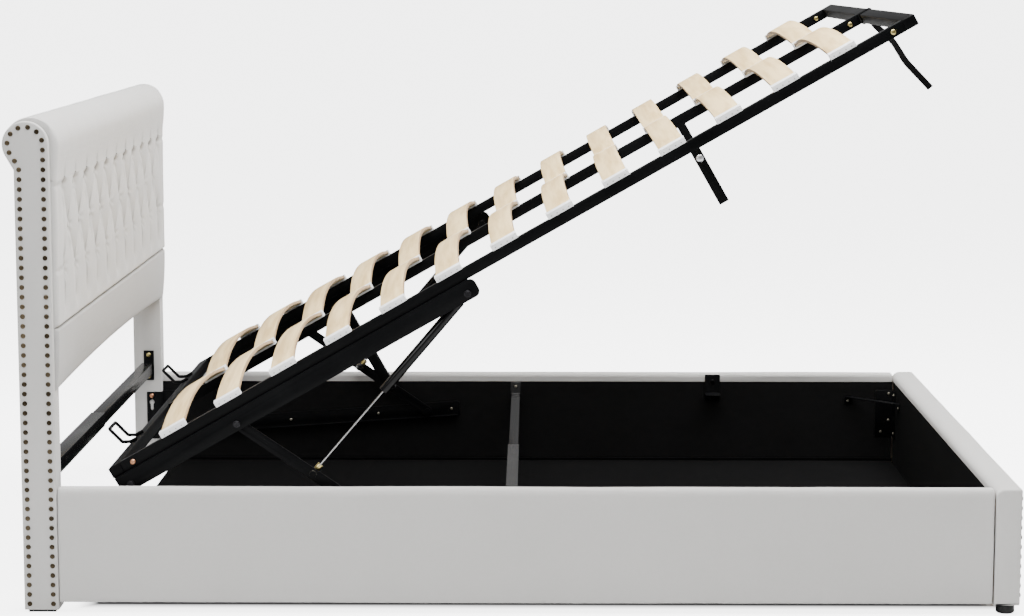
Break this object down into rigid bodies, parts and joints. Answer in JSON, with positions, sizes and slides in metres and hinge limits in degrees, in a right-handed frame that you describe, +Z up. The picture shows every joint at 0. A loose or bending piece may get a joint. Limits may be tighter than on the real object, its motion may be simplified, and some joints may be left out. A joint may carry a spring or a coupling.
{
  "type": "storage bed",
  "caption": "Upholstered storage bed with a tufted scroll headboard and a slatted platform that lifts on gas struts over a lined box.",
  "frame": {"origin": "centre of the bounding box on the floor", "axes": "+X along the bed to the foot, +Z up"},
  "size_m": [2.2124, 1.6448, 1.313],
  "materials": {
    "birch": "clear lacquer",
    "black_lining": "matt non-woven over board",
    "black_plastic": "satin",
    "black_steel": "satin powder coat",
    "bronze_nails": "antique bronze",
    "strut_rod": "polished",
    "timber": "plain sawn",
    "upholstery": "light warm grey woven upholstery over foam",
    "webbing": "woven webbing",
    "white_plastic": "satin",
    "zinc_bolts": "yellow zinc"
  },
  "bodies": {
    "base": {"base_bar_left": "black_steel", "base_bar_right": "black_steel", "base_bolts": "zinc_bolts", "corner_braces": "black_steel", "corner_feet": "black_plastic", "floor_ledges": "black_steel", "floor_panel_1": "black_lining", "floor_panel_2": "black_lining", "floor_panel_3": "black_lining", "floor_panel_4": "black_lining", "footboard_board": "timber", "footboard_cover": "upholstery", "footboard_lining": "black_lining", "footboard_nails": "bronze_nails", "head_bar_plates": "black_steel", "head_cross_bar_left": "black_steel", "head_cross_bar_right": "black_steel", "headboard_back_cover": "upholstery", "headboard_band": "upholstery", "headboard_cushion": "upholstery", "headboard_frame": "timber", "headboard_post_left": "upholstery", "headboard_post_right": "upholstery", "headboard_roll": "upholstery", "mid_cross_bar_left": "black_steel", "mid_cross_bar_right": "black_steel", "post_glides": "black_plastic", "post_nails": "bronze_nails", "rail_connectors": "black_steel", "rest_brackets": "black_steel", "side_rail_board_left": "timber", "side_rail_board_right": "timber", "side_rail_cover_left": "upholstery", "side_rail_cover_right": "upholstery", "side_rail_lining_left": "black_lining", "side_rail_lining_right": "black_lining", "tuft_buttons": "upholstery"},
    "platform": {"centre_legs": "black_steel", "deck_arm_left": "black_steel", "deck_arm_right": "black_steel", "deck_bolts": "zinc_bolts", "deck_end_rail_foot": "black_steel", "deck_end_rail_head": "black_steel", "deck_rail_centre": "black_steel", "deck_rail_left": "black_steel", "deck_rail_right": "black_steel", "mattress_retainers": "black_steel", "pull_strap": "webbing", "slat_caps_centre": "white_plastic", "slat_caps_side": "white_plastic", "slats_left": "birch", "slats_right": "birch"},
    "long_link_left": {"long_link_left": "black_steel"},
    "head_link_left": {"head_link_left": "black_steel"},
    "gas_cylinder_left": {"gas_cylinder_left": "black_steel"},
    "gas_rod_left": {"gas_rod_left": "strut_rod"},
    "long_link_right": {"long_link_right": "black_steel"},
    "head_link_right": {"head_link_right": "black_steel"},
    "gas_cylinder_right": {"gas_cylinder_right": "black_steel"},
    "gas_rod_right": {"gas_rod_right": "strut_rod"}
  },
  "joints": [
    {"name": "platform_lift", "type": "hinge", "parent": "base", "child": "long_link_left", "pos_m": [-0.2608, -0.769, 0.1734], "axis": [0, -1, 0], "range_deg": [0, 30.97], "stiffness_Nm_per_rad": 260, "springref_deg": -74.48},
    {"name": "platform_tilt", "type": "hinge", "parent": "long_link_left", "child": "platform", "pos_m": [-0.61429, -0.769, 0.41431], "axis": [0, 1, 0], "range_deg": [0, 60.62], "deforming": ["pull_strap"]},
    {"name": "head_link_left_turn", "type": "hinge", "parent": "base", "child": "head_link_left", "pos_m": [-0.8234, -0.769, 0.1338], "axis": [0, -1, 0], "range_deg": [0, 54.41]},
    {"name": "strut_left_swing", "type": "hinge", "parent": "platform", "child": "gas_cylinder_left", "pos_m": [-0.10675, -0.7525, 0.70322], "axis": [0, 1, 0], "range_deg": [0, 18.25]},
    {"name": "strut_left_stroke", "type": "slide", "parent": "gas_cylinder_left", "child": "gas_rod_left", "axis": [0.6478, 0, 0.7618], "range_m": [0, 0.14333]},
    {"name": "long_link_right_turn", "type": "hinge", "parent": "base", "child": "long_link_right", "pos_m": [-0.2608, 0.769, 0.1734], "axis": [0, -1, 0], "range_deg": [0, 30.97]},
    {"name": "head_link_right_turn", "type": "hinge", "parent": "base", "child": "head_link_right", "pos_m": [-0.8234, 0.769, 0.1338], "axis": [0, -1, 0], "range_deg": [0, 54.41]},
    {"name": "strut_right_swing", "type": "hinge", "parent": "platform", "child": "gas_cylinder_right", "pos_m": [-0.10675, 0.7525, 0.70322], "axis": [0, 1, 0], "range_deg": [0, 18.25]},
    {"name": "strut_right_stroke", "type": "slide", "parent": "gas_cylinder_right", "child": "gas_rod_right", "axis": [0.6478, 0, 0.7618], "range_m": [0, 0.14333]}
  ],
  "couplings": [
    {"joint": "platform_tilt", "follows": "platform_lift", "ratio": 1.9573},
    {"joint": "head_link_left_turn", "follows": "platform_lift", "ratio": 1.7567},
    {"joint": "strut_left_swing", "follows": "platform_lift", "ratio": 0.58922},
    {"joint": "strut_left_stroke", "follows": "platform_lift", "m_per_rad": 0.26514},
    {"joint": "long_link_right_turn", "follows": "platform_lift", "ratio": 1},
    {"joint": "head_link_right_turn", "follows": "platform_lift", "ratio": 1.7567},
    {"joint": "strut_right_swing", "follows": "platform_lift", "ratio": 0.58922},
    {"joint": "strut_right_stroke", "follows": "platform_lift", "m_per_rad": 0.26514}
  ]
}
